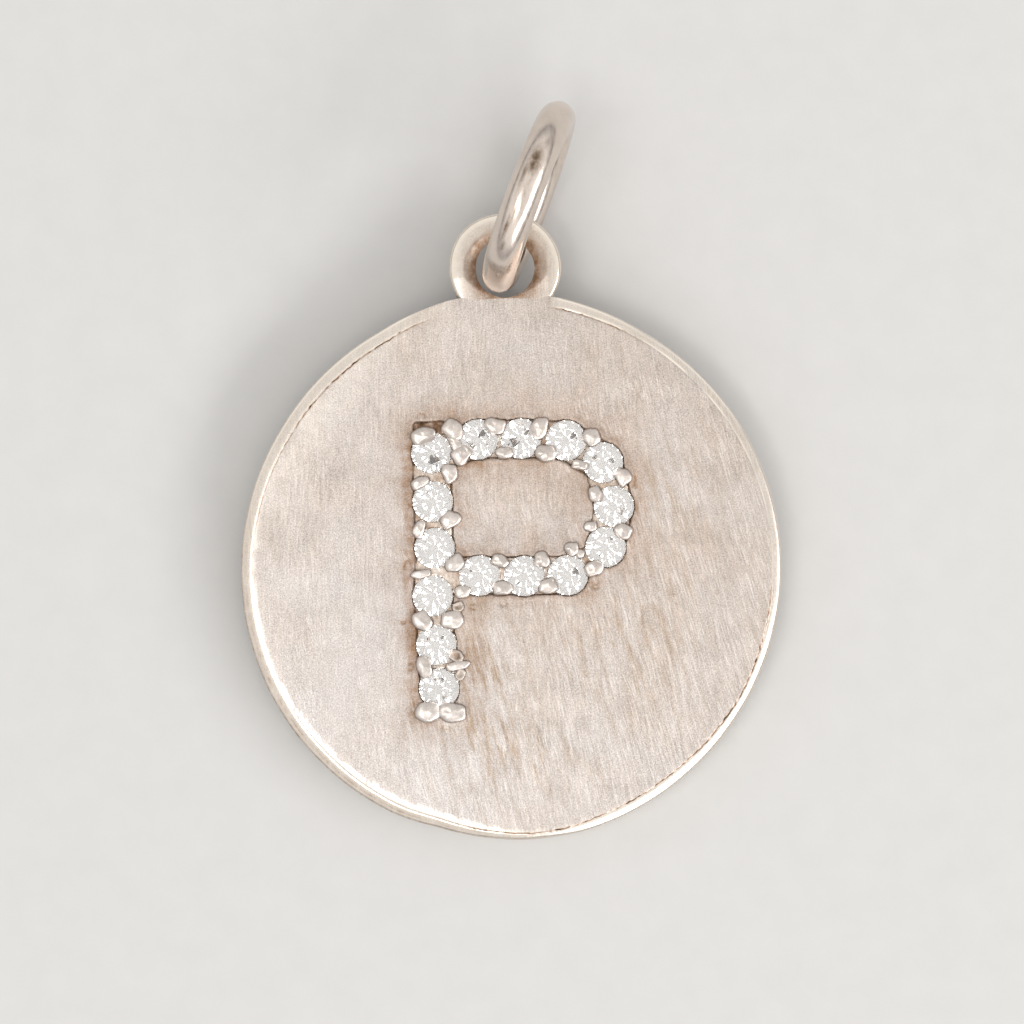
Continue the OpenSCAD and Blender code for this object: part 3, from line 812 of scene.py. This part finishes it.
def mathOf(operation, a, b=0.5, c=0.5):
    return addNode("Math", {0: a, 1: b, 2: c}, operation=operation).outputs[0]


def times(a, b):
    return mathOf("MULTIPLY", a, b)


def timesPlus(a, b, c):
    return mathOf("MULTIPLY_ADD", a, b, c)


def rangeOf(value, low, high, toLow=0, toHigh=1):
    inputs = {"Value": value, "From Min": low, "From Max": high, "To Min": toLow, "To Max": toHigh}
    return addNode("MapRange", inputs).outputs["Result"]


def mixOf(factor, a, b, blend="MIX"):
    node = addNode("Mix", {"Factor": factor, "A": a, "B": b}, data_type="RGBA", blend_type=blend)
    return node.outputs["Result"]


def stretched(place, stretch):
    return addNode("VectorMath", {0: place, 1: stretch}, operation="MULTIPLY").outputs[0]


def noiseOf(place, kind):
    scale, detail, rough, *stretch = noises[kind]
    place = stretched(place, stretch[0]) if stretch else place
    inputs = {"Vector": place, "Scale": scale, "Detail": detail, "Roughness": rough}
    return addNode("TexNoise", inputs).outputs["Fac"]


def color(values):
    return (*values, 1)


def newGroup(name, inputs, outputs):
    # a shader group: its tree, the sockets that it is given, and the node that takes its results
    tree = bpy.data.node_groups.new(name, "ShaderNodeTree")
    for way, sockets in (("INPUT", inputs), ("OUTPUT", outputs)):
        for label, kind in sockets.items():
            tree.interface.new_socket(label, in_out=way, socket_type="NodeSocket" + kind)
    given = tree.nodes.new("NodeGroupInput").outputs
    return tree, given, tree.nodes.new("NodeGroupOutput")


def brushGroup():
    # Fine lines along y, which fan out to the right: two noises stretched along the lines, and single
    # flecks of painted glint where the finer one is high
    tree, given, put = newGroup("brushedLines", {"Place": "Vector", "Width": "Float", "Length": "Float"},
                                {"Lines": "Float", "PaintedGlints": "Float"})
    parts = addNode("SeparateXYZ", {0: given["Place"]}).outputs
    right = times(mathOf("MAXIMUM", parts["X"], 0), lineFan)
    shear = timesPlus(right, parts["Y"], times(noiseOf(given["Place"], "bend"), 0.25))
    shift = addNode("CombineXYZ", {"X": shear})
    bent = addNode("VectorMath", {0: given["Place"], 1: shift.outputs[0]})
    scale = addNode("CombineXYZ", {"X": given["Width"], "Y": given["Length"], "Z": 1})
    fine = stretched(bent.outputs[0], scale.outputs[0])
    lines = noiseOf(fine, "lines")
    broad = noiseOf(fine, "broadLines")
    both = timesPlus(broad, 0.2, times(lines, 0.8))
    setInputs(put, {"Lines": both, "PaintedGlints": rangeOf(lines, 0.6, 0.72)})
    return tree


def scratchGroup():
    # Thin scratches in one heading: a stretched noise kept only near its middle value, in patches that
    # grow towards the lower right. Dark and pale streaks are the high and low parts of a wider noise.
    tree, given, put = newGroup("scratches", {"Place": "Vector"},
                                {"Scratch": "Float", "Streak": "Float", "Pale": "Float"})
    turned = addNode("VectorRotate", {"Vector": given["Place"], "Angle": scratchTurn}).outputs[0]
    line = noiseOf(turned, "scratches")
    thin = rangeOf(mathOf("ABSOLUTE", mathOf("SUBTRACT", line, 0.5)), 0.035, 0)
    parts = addNode("SeparateXYZ", {0: given["Place"]}).outputs
    corner = mathOf("SUBTRACT", parts["X"], parts["Y"])
    patches = timesPlus(corner, 0.02, noiseOf(turned, "patches"))
    scratch = times(thin, mathOf("GREATER_THAN", patches, 0.55))
    stroke = noiseOf(turned, "streaks")
    streak, pale = rangeOf(stroke, 0.48, 0.66), rangeOf(stroke, 0.45, 0.3)
    setInputs(put, {"Scratch": scratch, "Streak": streak, "Pale": pale})
    return tree


def stainAndShadeGroup():
    # Clean metal, warmed by a slow drift that grows to the upper right, which paints shade there, burnished
    # where the polish and painted sheen are, and turned brown, then black, where the stain and painted shade
    # are
    inputs = {"Place": "Vector", "StainAndShade": "Float", "Clean": "Color", "Warm": "Color", "Brown": "Color",
              "Burnish": "Color", "Drift": "Float", "PolishAndSheen": "Float"}
    tree, given, put = newGroup("tarnishAndShade", inputs, {"Color": "Color"})
    slow = noiseOf(given["Place"], "drift")
    parts = addNode("SeparateXYZ", {0: given["Place"]}).outputs
    # painted shade: the face turns warmer and darker towards the upper right, away from the key lamp
    rise = timesPlus(parts["Y"], 0.035, times(parts["X"], 0.03))
    drift = mathOf("ADD", rise, rangeOf(slow, *noiseSpan))
    warm = times(mathOf("MINIMUM", mathOf("MAXIMUM", drift, 0), 1), given["Drift"])
    base = mixOf(warm, given["Clean"], given["Warm"])
    base = mixOf(rangeOf(given["PolishAndSheen"], 0, 1.2), base, given["Burnish"])
    mottle = rangeOf(noiseOf(given["Place"], "stainMottle"), *noiseSpan, 0.5, 1.45)
    stainedAndShaded = times(given["StainAndShade"], mottle)
    browned = mixOf(stainedAndShaded, base, given["Brown"])
    black = rangeOf(stainedAndShaded, 1, 2)
    setInputs(put, {"Color": mixOf(black, browned, color(blackStainAndShade))})
    return tree


brushTree, scratchTree, stainAndShadeTree = brushGroup(), scratchGroup(), stainAndShadeGroup()

# Looks of the metal. lineTone, speckle and mottle change its tone by that share at most, lineBump and
# grain are heights in millimetres, and the rest from the painted glints to pale are strengths
satin = {
    "clean": (0.53, 0.49, 0.465), "warm": (0.48, 0.41, 0.36), "brown": (0.32, 0.2, 0.125), "drift": 0.9,
    "rough": 0.42, "roughSpread": 0.12, "width": 19, "length": 1.6, "lineBump": 0.004, "lineTone": 0.14,
    "paintedGlints": 0.12, "scratch": 0.2, "streak": 0.8, "pale": 0.2, "ochre": (0.35, 0.25, 0.165), "grain": 0.005,
    "speckle": 0.27, "mottle": 0.09, "burnish": (0.96, 0.875, 0.765), "polishRough": 0.17,
}
# The ring and the beads carry no streaks and no polish, so what these would look like is left as above
polished = {
    **satin,
    "clean": (0.845, 0.765, 0.7), "warm": (0.73, 0.615, 0.53), "brown": (0.21, 0.15, 0.105), "drift": 0.5,
    "rough": 0.17, "roughSpread": 0.14, "width": 6, "length": 2, "lineBump": 0.0006, "lineTone": 0.05,
    "paintedGlints": 0, "scratch": 0.12, "grain": 0.0008, "speckle": 0.03, "mottle": 0.03,
}
beaded = {
    **satin,
    "clean": (0.595, 0.542, 0.503), "warm": (0.54, 0.472, 0.423), "brown": (0.28, 0.2, 0.14), "drift": 0.5,
    "rough": 0.37, "roughSpread": 0.14, "width": 6, "length": 5, "lineBump": 0.0012, "lineTone": 0.1,
    "paintedGlints": 0, "scratch": 0.1, "grain": 0.0012, "speckle": 0.1, "mottle": 0.1,
}


def newMaterial(name):
    material = bpy.data.materials.new(name)
    material.use_nodes = True
    tree = material.node_tree
    return material, tree, tree.nodes["Principled BSDF"]


def discPlace(tree):
    # Object coordinates turned into the disc's millimetres
    coords = addNode("TexCoord", {}, tree)
    inputs = {"Vector": coords.outputs["Object"], "Location": tuple(backPlace), "Rotation": (discTilt, 0, 0),
              "Scale": (mm, mm, mm)}
    return addNode("Mapping", inputs, vector_type="TEXTURE").outputs["Vector"]


def markOf(tree, label):
    # the value that makePiece wrote for each vertex, or 0 where a piece has none
    node = addNode("Attribute", {}, tree, attribute_name=label, attribute_type="GEOMETRY")
    return node.outputs["Fac"]


def metalMaterial(name, look):
    # stain and painted shade colour the metal, polish adds painted sheen, and brushed lines, painted glints
    # and scratches change its tone, roughness and relief
    material, tree, shader = newMaterial(name)
    place = discPlace(tree)
    stainAndShade, polishAndSheen = markOf(tree, "stainAndShade"), markOf(tree, "polishAndSheen")
    dull = rangeOf(polishAndSheen, 1, 0)
    tone, brush, scratch = (addNode("Group", {"Place": place}, node_tree=group)
                            for group in (stainAndShadeTree, brushTree, scratchTree))
    colors = {label: color(look[label.lower()]) for label in ("Clean", "Warm", "Brown", "Burnish")}
    setInputs(tone, {**colors, "StainAndShade": stainAndShade, "PolishAndSheen": polishAndSheen, "Drift": look["drift"]})
    setInputs(brush, {"Width": look["width"], "Length": look["length"]})
    # tone: the lines, stronger in places, the grain and a coarse mottle, less where it is burnished
    lines, scratches = brush.outputs["Lines"], scratch.outputs["Scratch"]
    shade = rangeOf(lines, *lineSpan, -look["lineTone"], look["lineTone"])
    grain = noiseOf(place, "grain")
    speckle = rangeOf(grain, *noiseSpan, -look["speckle"], look["speckle"])
    mottle = rangeOf(noiseOf(place, "mottle"), *noiseSpan, -look["mottle"], look["mottle"])
    shade = times(shade, rangeOf(noiseOf(place, "lineStrength"), *lineSpan, 0.4, 1.2))
    patchy = mathOf("ADD", mathOf("ADD", shade, speckle), mottle)
    uneven = timesPlus(patchy, dull, 1)
    # colour: ochre streaks under that tone, then the pale streaks, the painted glints and the scratches
    area = times(markOf(tree, "streaks"), dull)
    ochre = times(scratch.outputs["Streak"], times(area, look["streak"]))
    streaked = mixOf(ochre, tone.outputs["Color"], color(look["ochre"]))
    shaded = mixOf(1, streaked, uneven, "MULTIPLY")
    # painted glints: white flecks along the brushed lines
    paintedGlints = times(brush.outputs["PaintedGlints"], times(dull, look["paintedGlints"]))
    bright = timesPlus(scratch.outputs["Pale"], times(area, look["pale"]), paintedGlints)
    flecked = mixOf(bright, shaded, color(paleScratchAndGlint))
    worn = mixOf(times(scratches, times(dull, look["scratch"])), flecked, color(paleScratchAndGlint))
    # roughness: uneven along the lines, more where the stain and painted shade are, and its own value where
    # it is burnished
    half = look["roughSpread"] / 2
    rough = rangeOf(lines, *lineSpan, look["rough"] - half, look["rough"] + half)
    rough = rangeOf(polishAndSheen, 0, 1, timesPlus(stainAndShade, 0.25, rough), look["polishRough"])
    # relief: the lines and the grain, less the scratches, and a tenth of it where it is burnished
    relief = timesPlus(lines, look["lineBump"], times(grain, look["grain"]))
    relief = timesPlus(scratches, -0.25 * look["lineBump"], relief)
    relief = times(relief, timesPlus(dull, 0.9, 0.1))
    bump = addNode("Bump", {"Height": relief, "Distance": mm, "Strength": 1}).outputs["Normal"]
    setInputs(shader, {"Base Color": worn, "Metallic": 1, "Roughness": rough, "Normal": bump})
    return material


glass = {
    # warm tint: painted reflection of the warm metal round the stones
    "tint": (1, 0.965, 0.94),
    "paintedFacetShade": (0.34, 0.42, 0.81, 0.89),  # the noise between the first two gives a tone between the others
    "inputs": {"Roughness": 0, "IOR": 2, "Transmission Weight": 0.95},
}


def stoneMaterial():
    # clear, a little milky, with faint grey patches of painted shade standing in for darker facets, and a
    # warm tint
    material, tree, shader = newMaterial("clearStone")
    tone = rangeOf(noiseOf(discPlace(tree), "paintedFacetShade"), *glass["paintedFacetShade"])
    tint = mixOf(1, color(glass["tint"]), tone, "MULTIPLY")
    setInputs(shader, {"Base Color": tint, **glass["inputs"]})
    return material


def wear(piece, material):
    piece.data.materials.clear()
    piece.data.materials.append(material)


satinMetal = metalMaterial("satinMetal", satin)
wear(discBody, satinMetal)
wear(eyeLoop, satinMetal)
wear(linkRing, metalMaterial("polishedMetal", polished))
wear(settingBeads, metalMaterial("beadMetal", beaded))
clearStone = stoneMaterial()
for name in stoneNames:
    wear(frame["nodes"][name], clearStone)
print("materials set")

# Studio: pale floor, soft light and the camera of the photo
studio = {
    "floorSize": 3,
    "floorColor": (0.545, 0.538, 0.527),
    "floorTone": (0.985, 1.015),  # its speckle
    "floorRough": 0.85,
    "horizon": (0.34, 0.34, 0.35),
    "sky": (0.98, 0.97, 0.955),
    "skyRise": (0.05, 0.42),  # heights on its unit sphere between horizon and full brightness
    # millimetres from the disc's middle, how wide the picture is at the face, and near in metres
    "camera": {"x": 0.03, "y": 1.677, "distance": 200, "width": 30.279, "sensor": 36, "near": 0.005},
    # name, place in millimetres from the disc's middle, width, length, power, colour
    "lamps": [
        ("key", (-110, -90, 380), 220, 80, 0.31, (1, 0.99, 0.975)),
        ("strip", (250, -190, 220), 560, 110, 1.03, (1, 0.99, 0.99)),
    ],
}


def makeFloor():
    half = studio["floorSize"] / 2
    mesh = bpy.data.meshes.new("floor")
    corners = [(-half, -half, 0), (half, -half, 0), (half, half, 0), (-half, half, 0)]
    mesh.from_pydata(corners, [], [(0, 1, 2, 3)])
    floor = addThing("floor", mesh)
    material, tree, shader = newMaterial("paleFloor")
    speckle = noiseOf(addNode("TexCoord", {}, tree).outputs["Object"], "floor")
    tone = rangeOf(speckle, *noiseSpan, *studio["floorTone"])
    shaded = mixOf(1, color(studio["floorColor"]), tone, "MULTIPLY")
    setInputs(shader, {"Base Color": shaded, "Roughness": studio["floorRough"]})
    wear(floor, material)


def aimed(name, data, place, target):
    # a lamp at place, in metres, that looks at target
    thing = addThing(name, data)
    look = unit(target - place)
    thing.location = place
    thing.rotation_euler = (math.acos(-look[2]), 0, math.atan2(-look[0], look[1]))


def makeStudio():
    makeFloor()
    middle = toRow([0, 0, disc["face"]])
    for name, place, width, length, power, tint in studio["lamps"]:
        lamp = bpy.data.lights.new(name, "AREA")
        lamp.shape = "RECTANGLE"
        lamp.size = width * mm
        lamp.size_y = length * mm
        lamp.energy = power
        lamp.color = tint
        aimed(name, lamp, middle + np.array(place) * mm, middle)
    world = bpy.data.worlds.new("studio")
    scene.world = world
    world.use_nodes = True
    # the sky is bright above and darker towards the horizon
    tree = world.node_tree
    parts = addNode("SeparateXYZ", {0: addNode("TexCoord", {}, tree).outputs["Generated"]})
    height = rangeOf(parts.outputs["Z"], *studio["skyRise"])
    sky = mixOf(height, color(studio["horizon"]), color(studio["sky"]))
    setInputs(tree.nodes["Background"], {"Color": sky})
    scene.view_settings.view_transform = "Standard"


def makeCamera():
    # straight down on the disc's face, as in the photo
    view = studio["camera"]
    data = bpy.data.cameras.new("photoCamera")
    data.sensor_width = view["sensor"]
    data.lens = data.sensor_width * view["distance"] / view["width"]
    data.clip_start = view["near"]
    camera = addThing("photoCamera", data)
    camera.location = toRow([view["x"], view["y"], disc["face"] + view["distance"]])
    camera.rotation_euler = (discTilt, 0, 0)
    scene.camera = camera


makeStudio()
makeCamera()
print("studio set")
